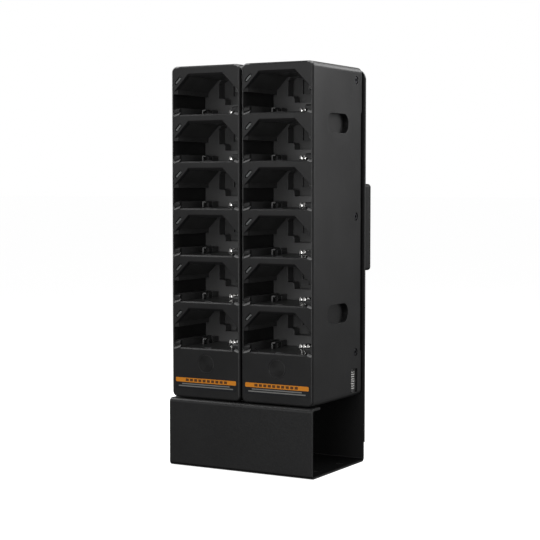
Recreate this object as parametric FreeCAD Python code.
"""Wall charger for portable radio batteries: two six-pocket modules on one bent steel bracket.

Millimetres. +X to the viewer's right, the pockets open towards -Y, +Z up. The origin is the centre
of the charger's footprint, at the underside of the tray floor.
"""
import FreeCAD
import Part
import math
import os
from FreeCAD import Vector

# ---- driving dimensions -------------------------------------------------------------------------
SIDES = {"left": -1, "right": 1}
ROWS = 6                        # pockets in one module, row 1 at the top
MODULE_PITCH = 70.0             # centre to centre of the two modules
MODULE_WIDTH = 68.8
MODULE_DEPTH = 89.4
MODULE_HEIGHT = 285.5
TRAY_HEIGHT = 59.5              # underside of the tray floor to underside of the modules
POCKET_PITCH = 40.15            # lip to lip
LOWEST_LIP = 43.6               # above the module's underside

BRACKET_WIDTH = 142.0
SHEET = 2.0                     # steel sheet thickness
BEND_RADIUS = 2.5               # to the middle of the sheet
TRAY_PROUD = 3.2                # the tray's front stands forward of the pockets' face
LIP_REACH = 15.2                # tray return lip, front to back
LIP_GAP = 0.7                   # between the return lip and the modules
PLATE_GAP = 3.4                 # between the modules and the back plate
PLATE_HEIGHT = 344.0
PLATE_CORNER = 9.0
STANDOFF_DEPTH = 7.0
WALL_PLATE_THICKNESS = 2.9

FACE_WALL = 2.5                 # module front face
SIDE_WALL = 2.15
END_WALL = 2.5                  # module top and bottom
LONG_EDGE_RADIUS = 5.0
FACE_EDGE_RADIUS = 2.0

# pocket opening, measured from the middle of its lip
SLOT_HALF = 32.25               # widest part, where the battery's flanges slide
SLOT_LOW, SLOT_HIGH = 5.8, 17.4
RAIL_HALF = 26.4                # inner edge of the side rails
HOOD_HALF, HOOD_SHOULDER = 28.7, 21.3
HOOD_TOP_HALF, HOOD_TOP = 17.6, 32.4
MOUTH_SHOULDER = 19.3           # where the mouth's bevel meets the front face
MOUTH_TOP_HALF, MOUTH_TOP = 17.0, 34.6
POCKET_DEPTH = 51.3
HOOD_WALL = 1.6
BACK_WALL = 2.0
FLOOR_UNDERSIDE = -2.2
FLOOR_FRONT, FLOOR_BACK = -0.6, 0.9     # the floor rises a little towards the back
RAIL_BEVEL = 1.8
RAIL_FRONT = 0.3                # the rails' noses reach forward into the mouth
NOSE_LOW_INNER, NOSE_LOW_OUTER = 2.3, 0.6     # their undersides follow the lead-in facets
NICHE_DEPTH = 9.9               # stepped niche behind the pocket's back wall
NICHE_WALL = 3.8
PANEL_HALF, PANEL_DEPTH = 8.7, 2.6      # recessed panel in the niche's rear
PANEL_LOW, PANEL_HIGH = 18.3, 30.0
DRAIN_SPAN = (-0.5, 18.5)       # dark relief slot low in the back wall
DRAIN_LOW, DRAIN_HIGH = 1.3, 3.3
STOP_HALF, STOP_FRONT, STOP_BACK = 3.3, 3.6, 6.0
STOP_LOW, STOP_TOP = -0.3, 0.6
CLEAR = 0.3                     # between parts that move past each other

# latch, beside the left rail
LATCH_LEFT, LATCH_WIDTH = -21.8, 3.3
LATCH_FRONT, LATCH_BACK, LATCH_TOP = 29.6, 39.6, 5.6
LATCH_SLOT = (28.0, 41.2)       # gap in the floor, front to back
HOLLOW_DEPTH, HOLLOW_SKIN, HOLLOW_TOP = 5.0, 1.0, 4.4     # the nose is open to the right
PIVOT_Y, PIVOT_Z = 38.6, -2.6
PIN_RADIUS = 0.8
HUB_RADIUS = 1.75
EAR_HALF, EAR_THICKNESS = 2.0, 0.9
SPRING_GAP = 2.6                # room for the spring beside the latch
SPRING_WIRE, SPRING_TURNS, SPRING_PITCH = 0.2, 3, 0.5   # wire radius, turns, pitch
SPRING_LEG = 5.0

# contacts, right of the middle
BLADE_COUNT = 4
BLADE_PITCH = 3.6
FIRST_BLADE = 3.6
BLADE_WIDTH = 1.5
BLADE_THICKNESS = 0.45
BLADE_BEND = 0.7
CARRIER_FRONT, CARRIER_BACK = 32.9, 38.1
CARRIER_LOW, CARRIER_HIGH = -3.3, -2.4
CONTACT_TRAVEL = 1.2
BLOCK_WALL, BLOCK_BOTTOM = 0.9, 0.6
RIBBON_LOW, RIBBON_HIGH = -3.3, -2.9

# status light, a slanted bar beside the pocket's shoulder
LIGHT_X, LIGHT_Z, LIGHT_ANGLE = -27.4, 28.9, 45
LIGHT_LENGTH, LIGHT_WIDTH, LIGHT_MARGIN = 6.8, 1.6, 0.7
LIGHT_HEAD, LIGHT_STEM = 4.5, 1.1        # bar's depth, radius of the guide behind it

# badge, label and power inlet
BADGE_RADIUS, BADGE_Z, BADGE_RECESS = 8.0, 30.2, 0.9
BADGE_RIM = 0.8
LABEL_WIDTH, LABEL_LOW, LABEL_HIGH = 61.7, 7.9, 17.8
LABEL_THICKNESS, LABEL_CORNER = 0.14, 1.4
JACK_HOLE, JACK_X, JACK_Y = 4.6, 0.0, 73.0
JACK_HEIGHT, JACK_BORE, JACK_PIN = 12.0, 2.8, 1.0

# module side features, from the module's front and underside
GRIP_SLOT_CENTRE_Y = 44.6
GRIP_SLOT_LENGTH, GRIP_SLOT_HEIGHT, GRIP_SLOT_DEPTH = 38.7, 16.4, 4.65
GRIP_SLOT_Z = (74.8, 235.9)
GRIP_WALL = 0.8                 # of the tub behind each grip slot
SIDE_SCREW_Y = 79.1
SIDE_SCREW_Z = (38.6, 156.6, 274.0)
SCREW_SEAT = 2.2                # below the module's side
COUNTERBORE, SCREW_HEAD, SCREW_SHANK, SCREW_SOCKET = 3.5, 2.9, 1.5, 1.3
SCREW_PAD = 5.0
LUG_HALF, LUG_REACH = 4.5, 6.5
LINK_Y, LINK_Z = (70.9, 82.6), (3.8, 24.4)
LINK_SETBACK, LINK_BLOCK, LINK_MARGIN = 3.4, 9.0, 1.0
LINK_PIN_COUNT, LINK_PIN_PITCH, LINK_PIN_HALF = 8, 2.04, 0.55
LINK_PIN_TIP, LINK_PIN_INSET = 1.5, 2.6
LINK_RIB_HALF, LINK_RIB_REACH = 0.3, 1.6
RELIEF_Z = (39.0, 246.4)        # shallow step in the side walls' rear edges
RELIEF_DEPTH = 1.6

BOARD_FRONT, BOARD_THICKNESS = 66.2, 1.6
BOARD_HALF, BOARD_LOW_HALF = 29.0, 21.0       # narrower between the link sockets
BOARD_LOW, BOARD_HIGH = 10.0, 274.0
BOARD_HOLE_X, BOARD_HOLE_Z = 25.0, (34.0, 142.0, 270.0)
COVER_FRONT, COVER_THICKNESS = 85.2, 2.6
VENT_COUNT, VENT_PITCH, VENT_LENGTH, VENT_WIDTH = 9, 6.0, 34.0, 2.4
VENT_STARTS = (75.0, 163.0)                   # lowest vent of each block
FIXING_X, FIXING_Z = 20.0, (52.0, 246.0)      # rear fixings of each module
FIXING_BOSS, FIXING_SHANK, FIXING_HEAD, FIXING_HEAD_HEIGHT = 5.0, 1.98, 4.0, 2.6
STUD_X, STUD_Z = 50.0, 147.5                  # hanger studs, above the module's underside
STUD_SHANK, STUD_HEAD, STUD_RIVET = 2.5, 4.2, 4.0
KEYHOLE_DROP, KEYHOLE_ROUND, KEYHOLE_NECK = 12.0, 4.8, 2.7
WALL_HOLE_SPACING_X, WALL_HOLE_SPACING_Z = 100.0, 50.0
SCREW_HOLE = 2.75                             # wall and tray holes, radius
DRIVER_HOLE = 5.5                             # reaches the wall screws through the channel
TRAY_HOLE_X, TRAY_HOLE_Y = 61.0, (24.6, 64.8)
TRAY_NOTCH, TRAY_NOTCH_TOP = 0.8, -42.5       # the tray is this much narrower on each side
CHANNEL_HALF_HEIGHT, CHANNEL_SKIN = 37.0, 1.5
WALL_PLATE_HALF_HEIGHT = 38.0

# ---- derived places -----------------------------------------------------------------------------
OVERALL_DEPTH = (TRAY_PROUD + MODULE_DEPTH + PLATE_GAP + SHEET + STANDOFF_DEPTH
                 + WALL_PLATE_THICKNESS)
FRONT = TRAY_PROUD - OVERALL_DEPTH / 2        # y of the pockets' face
PLATE_FRONT = MODULE_DEPTH + PLATE_GAP        # from the pockets' face
PLATE_REAR = PLATE_FRONT + SHEET
HALF_WIDTH = MODULE_WIDTH / 2
WALL_Z = 146.9                                # middle of the wall plate, from the same level
LATCH_RIGHT = LATCH_LEFT + LATCH_WIDTH
BOARD_REAR = BOARD_FRONT + BOARD_THICKNESS
COVER_REAR = COVER_FRONT + COVER_THICKNESS


# ---- small geometry helpers ---------------------------------------------------------------------
def box(x0, x1, y0, y1, z0, z1):
    return Part.makeBox(x1 - x0, y1 - y0, z1 - z0, Vector(x0, y0, z0))


def centred_box(half_x, y0, y1, z0, z1):
    return box(-half_x, half_x, y0, y1, z0, z1)


def rod(radius, start, end):
    """Round bar from one point to another."""
    a, b = Vector(*start), Vector(*end)
    return Part.makeCylinder(radius, (b - a).Length, a, b - a)


def prism_y(points, y0, y1):
    """Outline of (x, z) points, pushed from y0 to y1."""
    wire = Part.makePolygon([Vector(x, y0, z) for x, z in points + points[:1]])
    return Part.Face(wire).extrude(Vector(0, y1 - y0, 0))


def prism_x(points, x0, x1):
    """Outline of (y, z) points, pushed from x0 to x1."""
    wire = Part.makePolygon([Vector(x0, y, z) for y, z in points + points[:1]])
    return Part.Face(wire).extrude(Vector(x1 - x0, 0, 0))


def mirrored(points):
    """An open (x, z) outline on the left, closed by its mirror image on the right."""
    return points + [(-x, z) for x, z in reversed(points)]


def rounded_bar(length, width, y0, y1, centre=(0, 0), angle=0):
    """Stadium in the x-z plane, along x before it is turned by angle degrees, from y0 to y1."""
    straight = (length - width) / 2
    bar = box(-straight, straight, y0, y1, -width / 2, width / 2)
    for x in (-straight, straight):
        bar = bar.fuse(rod(width / 2, (x, y0, 0), (x, y1, 0)))
    bar = bar.removeSplitter()
    bar.rotate(Vector(0, 0, 0), Vector(0, 1, 0), -angle)
    bar.translate(Vector(centre[0], 0, centre[1]))
    return bar


def side_stadium(length, height, x0, x1, centre_y, centre_z):
    """Stadium in the y-z plane, from x0 to x1."""
    bar = rounded_bar(length, height, min(x0, x1), max(x0, x1))
    bar.rotate(Vector(0, 0, 0), Vector(0, 0, 1), -90)
    bar.translate(Vector(0, centre_y, centre_z))
    return bar


def strip(path, thickness, radius, x0, x1):
    """Bent strip: (y, z) points along its middle, with round bends, from x0 to x1."""
    points = [Vector(0, y, z) for y, z in path]
    headings = [(b - a).normalize() for a, b in zip(points, points[1:])]
    normals = [Vector(0, -h.z, h.y) for h in headings]
    edges = []
    ends = []
    for side in (1, -1):
        shift = side * thickness / 2
        last = points[0] + normals[0] * shift
        ends.append(last)
        for i in range(1, len(points) - 1):
            before, after = headings[i - 1], headings[i]
            turn = math.atan2(before.cross(after).x, before.dot(after))
            bend = radius - shift * math.copysign(1, turn)
            corner = points[i] + (normals[i - 1] + normals[i]) * (shift / (1 + before.dot(after)))
            setback = bend * math.tan(abs(turn) / 2)
            start, end = corner - before * setback, corner + after * setback
            bulge = bend / math.cos(turn / 2) - bend
            middle = corner + (after - before).normalize() * bulge
            edges.append(Part.LineSegment(last, start).toShape())
            edges.append(Part.Arc(start, middle, end).toShape())
            last = end
        final = points[-1] + normals[-1] * shift
        edges.append(Part.LineSegment(last, final).toShape())
        ends.append(final)
    edges.append(Part.LineSegment(ends[0], ends[2]).toShape())
    edges.append(Part.LineSegment(ends[1], ends[3]).toShape())
    face = Part.Face(Part.Wire(Part.__sortEdges__(edges)))
    face.translate(Vector(x0, 0, 0))
    return face.extrude(Vector(x1 - x0, 0, 0))


def fillet_edges(shape, radius, wanted):
    return shape.makeFillet(radius, [edge for edge in shape.Edges if wanted(edge)])


def runs_along_y(edge):
    a, b = edge.Vertexes[0].Point, edge.Vertexes[-1].Point
    return abs(a.x - b.x) < 1e-6 and abs(a.z - b.z) < 1e-6 and abs(a.y - b.y) > 1e-3


def placed(shape, x, y, z):
    moved = shape.copy()
    moved.translate(Vector(x, y, z))
    return moved


def save(name, shapes):
    """One STEP file for one sub-part, which may be a group of like solids."""
    solids = [solid for shape in shapes for solid in shape.Solids]
    shape = solids[0] if len(solids) == 1 else Part.makeCompound(solids)
    if not shape.isValid():
        print("invalid:", name)
    shape.exportStep(os.path.join("parts", name + ".step"))


def lip_height(row):
    """Height of a row's lip above the module's underside."""
    return LOWEST_LIP + (ROWS - row) * POCKET_PITCH


def module_origin(side):
    """Middle of a module's front bottom edge."""
    return side * MODULE_PITCH / 2, FRONT, TRAY_HEIGHT


# ---- pocket --------------------------------------------------------------------------------------
def hood_outline(grow):
    """Pocket roof: short upright sides, 45 degree shoulders and a flat top; grow thickens it."""
    slope = grow * math.tan(math.radians(22.5))
    return mirrored([(-HOOD_HALF - grow, SLOT_HIGH), (-HOOD_HALF - grow, HOOD_SHOULDER + slope),
                     (-HOOD_TOP_HALF - slope, HOOD_TOP + grow)])


def corner_ramps():
    """Cutters for the bright lead-in facets below the rails, in the mouth's lower corners."""
    ramps = []
    for side in (-1, 1):
        wires = []
        for x, low, high in ((RAIL_HALF, 0.0, 2.1), (SLOT_HALF + 0.6, -2.2, 0.2)):
            corners = [Vector(side * x, -1.0, low - 0.84), Vector(side * x, -1.0, high),
                       Vector(side * x, FACE_WALL, high)]
            wires.append(Part.makePolygon(corners + corners[:1]))
        ramps.append(Part.makeLoft(wires, True, True))
    return ramps


def mouth():
    """Opening that one pocket needs in the module's front face, with the lip at z = 0."""
    lower = mirrored([(-SLOT_HALF, SLOT_HIGH), (-SLOT_HALF, 0.2), (-RAIL_HALF, 2.1),
                      (-RAIL_HALF, 0)])
    opening = prism_y(lower, -1, FACE_WALL + 1)
    opening = opening.fuse(prism_y(hood_outline(0), -1, FACE_WALL + 1))
    face_line = mirrored([(-SLOT_HALF, SLOT_HIGH), (-SLOT_HALF, MOUTH_SHOULDER),
                          (-MOUTH_TOP_HALF, MOUTH_TOP)])
    inner_line = hood_outline(0)
    wires = []
    for outline, y in ((face_line, 0.0), (inner_line, FACE_WALL)):
        wires.append(Part.makePolygon([Vector(x, y, z) for x, z in outline + outline[:1]]))
    opening = opening.fuse(Part.makeLoft(wires, True, True))
    opening = opening.fuse(prism_x([(-0.1, -1.4), (-0.1, 0.1), (1.3, 0.1), (1.2, 0), (0, -1.3)],
                                   -RAIL_HALF, RAIL_HALF))
    for ramp in corner_ramps():
        opening = opening.fuse(ramp)
    return opening


def niche_outline(grow):
    """Stepped window in the pocket's back wall, narrower below a rounded step."""
    top = 32.0 if grow == 0 else HOOD_TOP + HOOD_WALL
    return mirrored([(-11.3 - grow, 10.2 - grow), (-11.3 - grow, 13.8 - grow * 0.4),
                     (-11.9 - grow * 0.9, 15.3 - grow * 0.7), (-13.2 - grow * 0.8, 16.0 - grow),
                     (-17.7 - grow, 16.0 - grow), (-17.7 - grow, 29.4), (-15.1 - grow, top)])


def rail_nose(side):
    """Front end of a side rail, above the lead-in facet."""
    wires = []
    for x, low in ((RAIL_HALF, NOSE_LOW_INNER), (SLOT_HALF - 0.05, NOSE_LOW_OUTER)):
        corners = [Vector(side * x, y, z) for y, z in
                   ((RAIL_FRONT, low), (RAIL_FRONT, SLOT_LOW), (FACE_WALL + 1, SLOT_LOW),
                    (FACE_WALL + 1, low))]
        wires.append(Part.makePolygon(corners + corners[:1]))
    return Part.makeLoft(wires, True, True)


def grip_clearances():
    """Room that the tubs behind the grip slots take from a pocket: below its floor, beside its roof."""
    low, high = (z - lip_height(row) for z, row in zip(GRIP_SLOT_Z, (ROWS, 2)))
    play = abs(high - low) / 2
    centre = (high + low) / 2
    margin = 2 * (GRIP_WALL + CLEAR)
    inner = HALF_WIDTH - GRIP_SLOT_DEPTH - GRIP_WALL - CLEAR
    for side in (-1, 1):
        for z in (centre, centre - POCKET_PITCH):
            yield side_stadium(GRIP_SLOT_LENGTH + margin, GRIP_SLOT_HEIGHT + margin + 2 * play,
                               side * inner, side * (HALF_WIDTH + 1), GRIP_SLOT_CENTRE_Y, z)


def pocket_insert():
    """Pocket lining: floor, side rails, hood and back wall with its niche."""
    width = SLOT_HALF - 0.05
    back = POCKET_DEPTH + BACK_WALL
    floor = prism_x([(FACE_WALL, FLOOR_UNDERSIDE), (FACE_WALL, FLOOR_FRONT),
                     (POCKET_DEPTH, FLOOR_BACK), (back, FLOOR_BACK), (back, FLOOR_UNDERSIDE)],
                    -width, width)
    body = floor
    for side in (-1, 1):
        x0, x1 = sorted((side * RAIL_HALF, side * width))
        body = body.fuse([box(x0, x1, FACE_WALL, back, FLOOR_UNDERSIDE, SLOT_LOW), rail_nose(side)])
        bevel = prism_x([(RAIL_FRONT - 1, SLOT_LOW - RAIL_BEVEL - 1),
                         (RAIL_FRONT + RAIL_BEVEL + 1, SLOT_LOW + 1), (RAIL_FRONT - 1, SLOT_LOW + 1)],
                        x0 - 1, x1 + 1)
        body = body.cut(bevel)
    hood = prism_y(hood_outline(HOOD_WALL), FACE_WALL, back)
    ledges = centred_box(width, FACE_WALL, back, SLOT_HIGH, SLOT_HIGH + HOOD_WALL)
    hood = hood.fuse(ledges).cut(prism_y(hood_outline(0), FACE_WALL - 1, POCKET_DEPTH))
    back_wall = centred_box(width, POCKET_DEPTH, back, FLOOR_UNDERSIDE, SLOT_HIGH + HOOD_WALL)
    niche_back = POCKET_DEPTH + NICHE_DEPTH
    niche_shell = prism_y(niche_outline(HOOD_WALL), POCKET_DEPTH, niche_back + NICHE_WALL)
    body = body.fuse([hood, back_wall, niche_shell])
    body = body.cut(prism_y(niche_outline(0), POCKET_DEPTH - 1, niche_back))
    body = body.cut(centred_box(PANEL_HALF, niche_back - 1, niche_back + PANEL_DEPTH, PANEL_LOW,
                                PANEL_HIGH))
    # latch slot and the fixed rib behind it
    body = body.cut(box(LATCH_LEFT - CLEAR, LATCH_RIGHT + CLEAR, *LATCH_SLOT, -5, 3))
    rib_front = LATCH_BACK + 2.0
    rib = box(LATCH_LEFT, LATCH_RIGHT, rib_front, POCKET_DEPTH + 1, FLOOR_UNDERSIDE, LATCH_TOP)
    rib = fillet_edges(rib, 2.0, lambda edge: abs(edge.CenterOfMass.y - rib_front) < 1e-6
                       and abs(edge.CenterOfMass.z - LATCH_TOP) < 1e-6)
    body = body.fuse(rib)
    # ears that hold the latch pin, one each side of the latch and its spring
    for x0, x1 in latch_ears():
        ear = box(x0, x1, PIVOT_Y - EAR_HALF, PIVOT_Y + EAR_HALF, PIVOT_Z - EAR_HALF,
                  FLOOR_UNDERSIDE + 0.5)
        body = body.fuse(ear)
    body = body.cut(rod(PIN_RADIUS, (LATCH_LEFT - 1.9, PIVOT_Y, PIVOT_Z),
                        (LATCH_RIGHT + 3.8, PIVOT_Y, PIVOT_Z)))
    body = body.cut(box(LATCH_RIGHT, LATCH_RIGHT + SPRING_GAP, PIVOT_Y - 1.8, PIVOT_Y + 1.8,
                        -5, -1.0))
    # window for the contacts, and the dark relief slot low in the back wall
    body = body.cut(box(*blade_span(0.9), CARRIER_FRONT - 0.6, CARRIER_BACK + 0.4, -5, 3))
    body = body.cut(box(*DRAIN_SPAN, POCKET_DEPTH - 1, back + 1, DRAIN_LOW, DRAIN_HIGH))
    # low stop in the middle, just behind the lip
    stop = prism_x([(STOP_FRONT, FLOOR_UNDERSIDE), (STOP_FRONT, STOP_LOW),
                    (STOP_FRONT + 1.0, STOP_TOP), (STOP_BACK, STOP_TOP),
                    (STOP_BACK, FLOOR_UNDERSIDE)], -STOP_HALF, STOP_HALF)
    body = body.fuse(stop).cut(list(grip_clearances()))
    return body.removeSplitter()


def latch_ears():
    """Low and high x of the two ears."""
    left, right = LATCH_LEFT - CLEAR, LATCH_RIGHT + SPRING_GAP
    return (left - EAR_THICKNESS, left), (right, right + EAR_THICKNESS)


def blade_span(margin):
    """Low and high x of the row of blades, with a margin."""
    half = BLADE_WIDTH / 2 + margin
    return FIRST_BLADE - half, FIRST_BLADE + (BLADE_COUNT - 1) * BLADE_PITCH + half


def latch():
    """Battery latch: a hollow-fronted nose on a hub that turns on the pin under the floor."""
    nose = prism_x([(LATCH_FRONT, -0.8), (LATCH_FRONT, LATCH_TOP), (LATCH_BACK, LATCH_TOP),
                    (LATCH_BACK, PIVOT_Z), (PIVOT_Y, PIVOT_Z - 1.2), (LATCH_FRONT + 1.5, -1.6)],
                   LATCH_LEFT, LATCH_RIGHT)
    middle = (LATCH_LEFT + LATCH_RIGHT) / 2
    nose = fillet_edges(nose, 1.6, lambda edge: abs(edge.CenterOfMass.z - LATCH_TOP) < 1e-6
                        and abs(edge.CenterOfMass.x - middle) < 1e-6)
    hub = rod(HUB_RADIUS, (LATCH_LEFT, PIVOT_Y, PIVOT_Z), (LATCH_RIGHT, PIVOT_Y, PIVOT_Z))
    body = nose.fuse(hub)
    body = body.cut(box(LATCH_LEFT + HOLLOW_SKIN, LATCH_RIGHT + 1, LATCH_FRONT - 1,
                        LATCH_FRONT + HOLLOW_DEPTH, -3, HOLLOW_TOP))
    bore = rod(PIN_RADIUS + 0.05, (LATCH_LEFT - 1, PIVOT_Y, PIVOT_Z),
               (LATCH_RIGHT + 1, PIVOT_Y, PIVOT_Z))
    return body.cut(bore).removeSplitter()


def latch_pin():
    ears = latch_ears()
    return rod(PIN_RADIUS - 0.02, (ears[0][0], PIVOT_Y, PIVOT_Z), (ears[1][1], PIVOT_Y, PIVOT_Z))


def latch_spring():
    """Torsion spring: three wire turns round the pin, with a leg at each end under the floor."""
    coil_radius = PIN_RADIUS + 2.1 * SPRING_WIRE
    coil_length = SPRING_PITCH * SPRING_TURNS
    first_x = LATCH_RIGHT + CLEAR + SPRING_WIRE + 0.15
    helix = Part.makeHelix(SPRING_PITCH, coil_length, coil_radius)
    profile = Part.Wire(Part.makeCircle(SPRING_WIRE, Vector(coil_radius, 0, 0), Vector(0, 1, 0)))
    coil = Part.Wire(helix.Edges).makePipeShell([profile], True, True)
    coil.rotate(Vector(0, 0, 0), Vector(0, 1, 0), 90)
    coil.translate(Vector(first_x, PIVOT_Y, PIVOT_Z))
    low = PIVOT_Z - coil_radius
    last_x = first_x + coil_length
    front_leg = rod(SPRING_WIRE, (first_x, PIVOT_Y, low), (first_x, PIVOT_Y - SPRING_LEG, low))
    rear_leg = rod(SPRING_WIRE, (last_x, PIVOT_Y, low), (last_x, PIVOT_Y + SPRING_LEG, low))
    return coil.fuse([front_leg, rear_leg])


def contact_set():
    """Four curled leaf blades on one carrier bar."""
    x0, x1 = blade_span(0.3)
    body = box(x0, x1, CARRIER_FRONT, CARRIER_BACK, CARRIER_LOW, CARRIER_HIGH)
    path = [(33.9, CARRIER_LOW + 0.3), (33.9, 0.9), (35.7, 5.1), (37.2, 3.6), (37.2, 1.2)]
    for index in range(BLADE_COUNT):
        left = FIRST_BLADE + index * BLADE_PITCH - BLADE_WIDTH / 2
        body = body.fuse(strip(path, BLADE_THICKNESS, BLADE_BEND, left, left + BLADE_WIDTH))
    return body.removeSplitter()


def contact_block():
    """Frame under the floor that guides the carrier, open above, with a thin bottom."""
    x0, x1 = blade_span(0.3)
    rim = CLEAR + BLOCK_WALL
    low = CARRIER_LOW - CONTACT_TRAVEL - CLEAR - BLOCK_BOTTOM
    outer = box(x0 - rim, x1 + rim, CARRIER_FRONT - rim, CARRIER_BACK + rim, low,
                FLOOR_UNDERSIDE - 0.02)
    inner = box(x0 - CLEAR, x1 + CLEAR, CARRIER_FRONT - CLEAR, CARRIER_BACK + CLEAR,
                low + BLOCK_BOTTOM, 0)
    return outer.cut(inner)


def contact_ribbon():
    """Flat lead from the contact block back to the charger board."""
    x0, x1 = blade_span(-1.0)
    return box(x0, x1, CARRIER_BACK + CLEAR + BLOCK_WALL + 0.02, BOARD_FRONT - 0.02, RIBBON_LOW,
               RIBBON_HIGH)


def light_pipe():
    """Clear guide from the charger board to the slanted status light in the front face."""
    head = rounded_bar(LIGHT_LENGTH, LIGHT_WIDTH, 0.35, LIGHT_HEAD, (LIGHT_X, LIGHT_Z), LIGHT_ANGLE)
    stem = rod(LIGHT_STEM, (LIGHT_X, LIGHT_HEAD - 1, LIGHT_Z), (LIGHT_X, BOARD_FRONT - 0.02, LIGHT_Z))
    return head.fuse(stem)


# ---- module --------------------------------------------------------------------------------------
def cavity():
    """The hollow inside a module housing, open at the rear."""
    inner = centred_box(HALF_WIDTH - SIDE_WALL, FACE_WALL, MODULE_DEPTH + 1, END_WALL,
                        MODULE_HEIGHT - END_WALL)
    return fillet_edges(inner, LONG_EDGE_RADIUS - SIDE_WALL, runs_along_y)


def housing():
    """Module housing: front face, sides and ends in one moulding, open at the rear."""
    outer = centred_box(HALF_WIDTH, 0, MODULE_DEPTH, 0, MODULE_HEIGHT)
    outer = fillet_edges(outer, LONG_EDGE_RADIUS, runs_along_y)
    outer = fillet_edges(outer, FACE_EDGE_RADIUS, lambda edge: edge.BoundBox.YMax < 1e-3)
    shell = outer.cut(cavity())
    # pads behind the side screws, tubs behind the grip slots
    for side in (-1, 1):
        inside = side * (HALF_WIDTH - SIDE_WALL)
        for z in SIDE_SCREW_Z:
            shell = shell.fuse(rod(SCREW_PAD, (inside + side * 0.5, SIDE_SCREW_Y, z),
                                   (inside - side * 2.0, SIDE_SCREW_Y, z)))
        for z in GRIP_SLOT_Z:
            tub_floor = side * (HALF_WIDTH - GRIP_SLOT_DEPTH - GRIP_WALL)
            shell = shell.fuse(side_stadium(GRIP_SLOT_LENGTH + 2 * GRIP_WALL,
                                            GRIP_SLOT_HEIGHT + 2 * GRIP_WALL, inside + side * 0.5,
                                            tub_floor, GRIP_SLOT_CENTRE_Y, z))
    cutters = []
    for row in range(1, ROWS + 1):
        lip = lip_height(row)
        cutters.append(placed(mouth(), 0, 0, lip))
        cutters.append(rounded_bar(LIGHT_LENGTH + 2 * LIGHT_MARGIN, LIGHT_WIDTH + 2 * LIGHT_MARGIN,
                                   -1, FACE_WALL + 1, (LIGHT_X, LIGHT_Z + lip), LIGHT_ANGLE))
    cutters.append(rod(BADGE_RADIUS + 0.15, (0, -1, BADGE_Z), (0, BADGE_RECESS, BADGE_Z)))
    for side in (-1, 1):
        outside, inside = side * (HALF_WIDTH + 1), side * (HALF_WIDTH - SIDE_WALL - 1)
        for z in GRIP_SLOT_Z:
            cutters.append(side_stadium(GRIP_SLOT_LENGTH, GRIP_SLOT_HEIGHT, outside,
                                        side * (HALF_WIDTH - GRIP_SLOT_DEPTH), GRIP_SLOT_CENTRE_Y, z))
        for z in SIDE_SCREW_Z:
            start = (outside, SIDE_SCREW_Y, z)
            seat = side * (HALF_WIDTH - SCREW_SEAT)
            cutters.append(rod(COUNTERBORE, start, (seat, SIDE_SCREW_Y, z)))
            cutters.append(rod(SCREW_SHANK + 0.2, start, (seat - side * 4, SIDE_SCREW_Y, z)))
        x0, x1 = sorted((outside, inside))
        cutters.append(box(x0, x1, *LINK_Y, *LINK_Z))
        cutters.append(box(x0, x1, MODULE_DEPTH - RELIEF_DEPTH, MODULE_DEPTH + 1, *RELIEF_Z))
    cutters.append(rod(JACK_HOLE, (JACK_X, JACK_Y, -1), (JACK_X, JACK_Y, END_WALL + 1)))
    return shell.cut(cutters).removeSplitter()


def badge():
    """Plain round badge with a raised rim."""
    disc = rod(BADGE_RADIUS, (0, 0.35, BADGE_Z), (0, BADGE_RECESS - 0.02, BADGE_Z))
    rim = rod(BADGE_RADIUS, (0, 0.1, BADGE_Z), (0, 0.4, BADGE_Z))
    rim = rim.cut(rod(BADGE_RADIUS - BADGE_RIM, (0, 0, BADGE_Z), (0, 1, BADGE_Z)))
    return disc.fuse(rim).removeSplitter()


def label():
    """Thin two-tone sticker below the badge."""
    back = -0.01
    sticker = centred_box(LABEL_WIDTH / 2, back - LABEL_THICKNESS, back, LABEL_LOW, LABEL_HIGH)
    return fillet_edges(sticker, LABEL_CORNER, runs_along_y)


def side_screws():
    """Socket-head screws in the side counterbores, down into the rear cover's lugs."""
    screws = []
    for side in (-1, 1):
        seat = HALF_WIDTH - SCREW_SEAT
        for z in SIDE_SCREW_Z:
            levels = [(side * (seat + depth), SIDE_SCREW_Y, z) for depth in (-8, 0, 0.7, 1.7, 2)]
            tip, under_head, socket_floor, crown, above = levels
            screw = rod(SCREW_HEAD, under_head, crown).fuse(rod(SCREW_SHANK, tip, under_head))
            screws.append(screw.cut(rod(SCREW_SOCKET, socket_floor, above)))
    return screws


def rear_cover():
    """Flat rear cover, with vents, screw lugs for the housing and bosses for the bracket."""
    half = HALF_WIDTH - SIDE_WALL - 0.1
    low, high = END_WALL + 0.1, MODULE_HEIGHT - END_WALL - 0.1
    cover = centred_box(half, COVER_FRONT, COVER_REAR, low, high)
    cover = fillet_edges(cover, LONG_EDGE_RADIUS - SIDE_WALL, runs_along_y)
    for side in (-1, 1):
        outer = side * (HALF_WIDTH - SIDE_WALL - 2.1)
        x0, x1 = sorted((outer, outer - side * LUG_REACH))
        for z in SIDE_SCREW_Z:
            lug = box(x0, x1, SIDE_SCREW_Y - LUG_HALF, COVER_FRONT + 0.5, z - LUG_HALF, z + LUG_HALF)
            hole = rod(SCREW_SHANK + 0.05, (outer + side, SIDE_SCREW_Y, z),
                       (outer - side * 8, SIDE_SCREW_Y, z))
            cover = cover.fuse(lug).cut(hole)
        for z in FIXING_Z:
            x = side * FIXING_X
            cover = cover.fuse(rod(FIXING_BOSS, (x, COVER_FRONT - 6, z), (x, PLATE_FRONT, z)))
            cover = cover.cut(rod(FIXING_SHANK + 0.04, (x, COVER_FRONT - 5, z),
                                  (x, PLATE_FRONT + 1, z)))
    for start in VENT_STARTS:
        for index in range(VENT_COUNT):
            cover = cover.cut(rounded_bar(VENT_LENGTH, VENT_WIDTH, COVER_FRONT - 1, COVER_REAR + 1,
                                          (0, start + index * VENT_PITCH)))
    return cover.removeSplitter()


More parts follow.
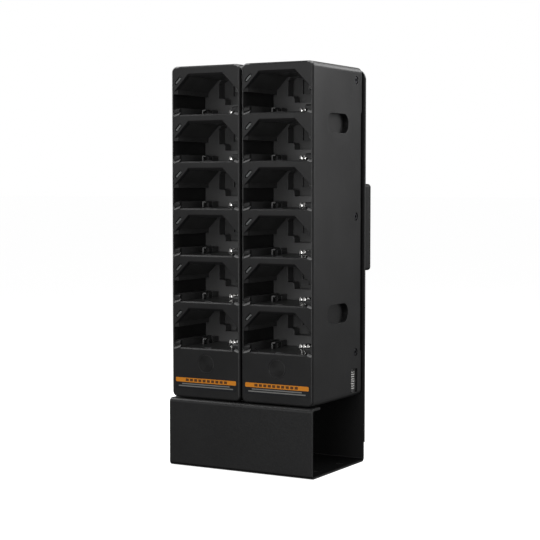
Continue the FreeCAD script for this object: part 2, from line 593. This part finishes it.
def charger_board():
    """Charger circuit board, upright behind the pockets, notched round the link sockets."""
    step = LINK_Z[1] + 3.0
    board = centred_box(BOARD_HALF, BOARD_FRONT, BOARD_REAR, step, BOARD_HIGH)
    tongue = centred_box(BOARD_LOW_HALF, BOARD_FRONT, BOARD_REAR, BOARD_LOW, step + 1.0)
    board = board.fuse(tongue).removeSplitter()
    for x in (-BOARD_HOLE_X, BOARD_HOLE_X):
        for z in BOARD_HOLE_Z:
            board = board.cut(rod(1.6, (x, BOARD_FRONT - 1, z), (x, BOARD_REAR + 1, z)))
    return board


def board_components():
    """Six charging circuits and a common power section, on the rear of the board."""
    parts = []
    rear = BOARD_REAR
    for row in range(1, ROWS + 1):
        z = lip_height(row)
        inductor = box(-20, -12, rear, rear + 4.0, z + 4, z + 12)
        capacitor = rod(2.5, (-4, rear, z + 8), (-4, rear + 8, z + 8))
        controller = box(4, 11, rear, rear + 1.6, z + 4, z + 11)
        ribbon_plug = box(3, 15, rear, rear + 5, z - 5.5, z - 0.5)
        parts += [inductor, capacitor, controller, ribbon_plug]
    power_choke = box(-16, -2, rear, rear + 9, 18, 32)
    power_capacitor = rod(5.0, (8, rear, 26), (8, rear + 14, 26))
    return parts + [power_choke, power_capacitor]


def power_jack():
    """Round direct-current inlet in the module's underside, with its centre pin."""
    low, high = END_WALL, END_WALL + JACK_HEIGHT
    body = box(JACK_X - 5.5, JACK_X + 5.5, JACK_Y - 5.2, JACK_Y + 6.5, low, high)
    collar = rod(JACK_HOLE - 0.1, (JACK_X, JACK_Y, 0.6), (JACK_X, JACK_Y, low + 0.5))
    bore = rod(JACK_BORE, (JACK_X, JACK_Y, 0), (JACK_X, JACK_Y, high - 3))
    pin = rod(JACK_PIN, (JACK_X, JACK_Y, 2.0), (JACK_X, JACK_Y, high - 2))
    return body.fuse(collar).cut(bore).fuse(pin).removeSplitter()


def link_socket(side):
    """Socket block behind the opening low down in the side, with a rib between pin pairs."""
    face = side * (HALF_WIDTH - LINK_SETBACK)
    x0, x1 = sorted((face, face - side * LINK_BLOCK))
    y0, y1 = LINK_Y[0] - LINK_MARGIN, LINK_Y[1] + LINK_MARGIN
    z0, z1 = END_WALL + 0.1, LINK_Z[1] + LINK_MARGIN
    body = box(x0, x1, y0, y1, z0, z1)
    rim_x = sorted((face, side * (HALF_WIDTH - SIDE_WALL - 0.05)))
    rim = box(*rim_x, y0, y1, z0, z1).cut(box(*rim_x, *LINK_Y, *LINK_Z))
    body = body.fuse(rim)
    for pair in range(1, LINK_PIN_COUNT // 2):
        z = link_pin_height(2 * pair - 0.5)
        rib_x = sorted((face, face + side * LINK_RIB_REACH))
        body = body.fuse(box(*rib_x, LINK_Y[0] + 1.5, LINK_Y[1] - 1.5, z - LINK_RIB_HALF,
                             z + LINK_RIB_HALF))
    return body.common(cavity()).removeSplitter()


def link_pin_height(index):
    """Height of one pin, counted from the lowest; half numbers lie between pins."""
    middle = (LINK_Z[0] + LINK_Z[1]) / 2
    return middle + (index - (LINK_PIN_COUNT - 1) / 2) * LINK_PIN_PITCH


def link_pins(side):
    """Flat sprung pins that meet the neighbouring module."""
    face = side * (HALF_WIDTH - LINK_SETBACK + 0.02)
    tip = side * (HALF_WIDTH - LINK_PIN_TIP)
    pins = []
    for index in range(LINK_PIN_COUNT):
        z = link_pin_height(index)
        x0, x1 = sorted((face, tip))
        pin = box(x0, x1, LINK_Y[0] + LINK_PIN_INSET, LINK_Y[1] - LINK_PIN_INSET,
                  z - LINK_PIN_HALF, z + LINK_PIN_HALF)
        pin = fillet_edges(pin, 0.45, lambda edge: abs(edge.CenterOfMass.x - tip) < 1e-6)
        pins.append(pin)
    return pins


# ---- bracket and wall parts ----------------------------------------------------------------------
def mounting_bracket():
    """One bent sheet: return lip, tray front, tray floor and back plate, from the front face."""
    half_sheet = SHEET / 2
    front = -TRAY_PROUD + half_sheet
    floor = -TRAY_HEIGHT + half_sheet
    lip = -LIP_GAP - half_sheet
    back = PLATE_FRONT + half_sheet
    top = PLATE_HEIGHT - TRAY_HEIGHT
    path = [(LIP_REACH - TRAY_PROUD, lip), (front, lip), (front, floor), (back, floor), (back, top)]
    half = BRACKET_WIDTH / 2
    sheet = strip(path, SHEET, BEND_RADIUS, -half, half)
    sheet = fillet_edges(sheet, PLATE_CORNER, lambda edge: abs(edge.CenterOfMass.z - top) < 1e-6
                         and runs_along_y(edge))
    sheet = fillet_edges(sheet, 2.0, lambda edge: abs(edge.CenterOfMass.y - (LIP_REACH - TRAY_PROUD))
                         < 1e-6 and edge.Length < SHEET + 0.01)
    cutters = []
    for side in (-1, 1):
        x0, x1 = sorted((side * (half - TRAY_NOTCH), side * (half + 1)))
        cutters.append(box(x0, x1, -TRAY_PROUD - 1, PLATE_REAR + 1, -TRAY_HEIGHT - 1,
                           TRAY_NOTCH_TOP))
        cutters.append(box(x0, x1, -TRAY_PROUD - 1, LIP_REACH, -TRAY_HEIGHT, 1))
        for z in FIXING_Z:
            for offset in (-FIXING_X, FIXING_X):
                x = side * MODULE_PITCH / 2 + offset
                cutters.append(rod(2.3, (x, PLATE_FRONT - 1, z), (x, PLATE_REAR + 1, z)))
        x = side * STUD_X
        entry = STUD_Z - KEYHOLE_DROP
        cutters.append(rod(KEYHOLE_ROUND, (x, PLATE_FRONT - 1, entry), (x, PLATE_REAR + 1, entry)))
        cutters.append(box(x - KEYHOLE_NECK, x + KEYHOLE_NECK, PLATE_FRONT - 1, PLATE_REAR + 1, entry,
                           STUD_Z))
        cutters.append(rod(KEYHOLE_NECK, (x, PLATE_FRONT - 1, STUD_Z), (x, PLATE_REAR + 1, STUD_Z)))
        for y in TRAY_HOLE_Y:
            x = side * TRAY_HOLE_X
            cutters.append(rod(SCREW_HOLE, (x, y, -TRAY_HEIGHT - 1), (x, y, -TRAY_HEIGHT + SHEET + 1)))
    return sheet.cut(cutters)


def bracket_screws():
    """Pan-head screws through the back plate into the rear covers' bosses."""
    screws = []
    crown = PLATE_REAR + FIXING_HEAD_HEIGHT
    for side in (-1, 1):
        for offset in (-FIXING_X, FIXING_X):
            for z in FIXING_Z:
                x = side * MODULE_PITCH / 2 + offset
                head = rod(FIXING_HEAD, (x, PLATE_REAR, z), (x, crown, z))
                head = fillet_edges(head, 1.2, lambda edge: abs(edge.CenterOfMass.y - crown) < 1e-6
                                    and len(edge.Vertexes) == 1)
                shank = rod(FIXING_SHANK, (x, PLATE_REAR, z), (x, COVER_FRONT - 4, z))
                screw = head.fuse(shank)
                for wide, tall in ((1.8, 0.4), (0.4, 1.8)):
                    screw = screw.cut(box(x - wide, x + wide, crown - 1.4, crown + 1, z - tall, z + tall))
                screws.append(screw)
    return screws


def wall_holes():
    """Places (x, z) of the four wall screws."""
    for x in (-WALL_HOLE_SPACING_X / 2, WALL_HOLE_SPACING_X / 2):
        for z in (WALL_Z - WALL_HOLE_SPACING_Z / 2, WALL_Z + WALL_HOLE_SPACING_Z / 2):
            yield x, z


def standoff_channel():
    """Shallow pressed pan between the back plate and the wall plate, open at the rear."""
    half = BRACKET_WIDTH / 2
    low, high = WALL_Z - CHANNEL_HALF_HEIGHT, WALL_Z + CHANNEL_HALF_HEIGHT
    rear = PLATE_REAR + STANDOFF_DEPTH
    pan = fillet_edges(centred_box(half, PLATE_REAR + 0.02, rear, low, high), 2.0, runs_along_y)
    pan = pan.cut(centred_box(half - CHANNEL_SKIN, PLATE_REAR + CHANNEL_SKIN, rear + 1,
                              low + CHANNEL_SKIN, high - CHANNEL_SKIN))
    for x, z in wall_holes():
        pan = pan.cut(rod(DRIVER_HOLE, (x, PLATE_REAR - 1, z), (x, rear, z)))
    for side in (-1, 1):
        pan = pan.cut(rod(STUD_SHANK + 0.02, (side * STUD_X, PLATE_REAR - 1, STUD_Z),
                          (side * STUD_X, rear, STUD_Z)))
    return pan


def wall_plate():
    """Flat plate that is fixed to the wall with four screws."""
    front = PLATE_REAR + STANDOFF_DEPTH
    plate = centred_box(BRACKET_WIDTH / 2, front, front + WALL_PLATE_THICKNESS,
                        WALL_Z - WALL_PLATE_HALF_HEIGHT, WALL_Z + WALL_PLATE_HALF_HEIGHT)
    plate = fillet_edges(plate, 3.0, runs_along_y)
    for x, z in wall_holes():
        plate = plate.cut(rod(SCREW_HOLE, (x, front - 1, z), (x, front + 5, z)))
    return plate


def hanger_studs():
    """Headed studs riveted in the channel; the bracket's keyholes drop over them."""
    studs = []
    for side in (-1, 1):
        x = side * STUD_X
        under_pan = PLATE_REAR + CHANNEL_SKIN + 0.02
        head = rod(STUD_HEAD, (x, PLATE_FRONT - 1.9, STUD_Z), (x, PLATE_FRONT - 0.2, STUD_Z))
        shank = rod(STUD_SHANK, (x, PLATE_FRONT - 0.5, STUD_Z), (x, under_pan + 3.0, STUD_Z))
        rivet = rod(STUD_RIVET, (x, under_pan, STUD_Z), (x, under_pan + 1.3, STUD_Z))
        studs.append(head.fuse(shank).fuse(rivet).removeSplitter())
    return studs


# ---- build ----------------------------------------------------------------------------------------
def in_pockets(shape):
    """A pocket-local shape, copied to all twelve pockets."""
    copies = []
    for side in SIDES.values():
        x, y, z = module_origin(side)
        for row in range(1, ROWS + 1):
            copies.append(placed(shape, x, y, z + lip_height(row)))
    return copies


def in_modules(shapes):
    """Module-local shapes, copied to both modules."""
    return [placed(shape, *module_origin(side)) for side in SIDES.values() for shape in shapes]


def main():
    os.makedirs("parts", exist_ok=True)
    insert, lever, contacts = pocket_insert(), latch(), contact_set()
    shell, cover, board = housing(), rear_cover(), charger_board()
    components = board_components()
    for name, side in SIDES.items():
        x, y, z = module_origin(side)
        for row in range(1, ROWS + 1):
            place = (x, y, z + lip_height(row))
            save(f"pocket_{name}_{row}", [placed(insert, *place)])
            save(f"latch_{name}_{row}", [placed(lever, *place)])
            save(f"contacts_{name}_{row}", [placed(contacts, *place)])
        save("housing_" + name, [placed(shell, x, y, z)])
        save("rear_cover_" + name, [placed(cover, x, y, z)])
        save("charger_board_" + name, [placed(board, x, y, z)])
        save("board_components_" + name, [placed(part, x, y, z) for part in components])
    save("latch_pins", in_pockets(latch_pin()))
    save("latch_springs", in_pockets(latch_spring()))
    save("contact_blocks", in_pockets(contact_block()))
    save("contact_ribbons", in_pockets(contact_ribbon()))
    save("light_pipes", in_pockets(light_pipe()))
    save("badges", in_modules([badge()]))
    save("labels", in_modules([label()]))
    save("side_screws", in_modules(side_screws()))
    save("power_jacks", in_modules([power_jack()]))
    save("link_sockets", in_modules([link_socket(-1), link_socket(1)]))
    save("link_pins", in_modules(link_pins(-1) + link_pins(1)))
    base = (0, FRONT, TRAY_HEIGHT)
    save("mounting_bracket", [placed(mounting_bracket(), *base)])
    save("bracket_screws", [placed(screw, *base) for screw in bracket_screws()])
    save("standoff_channel", [placed(standoff_channel(), *base)])
    save("wall_plate", [placed(wall_plate(), *base)])
    save("hanger_studs", [placed(stud, *base) for stud in hanger_studs()])


main()
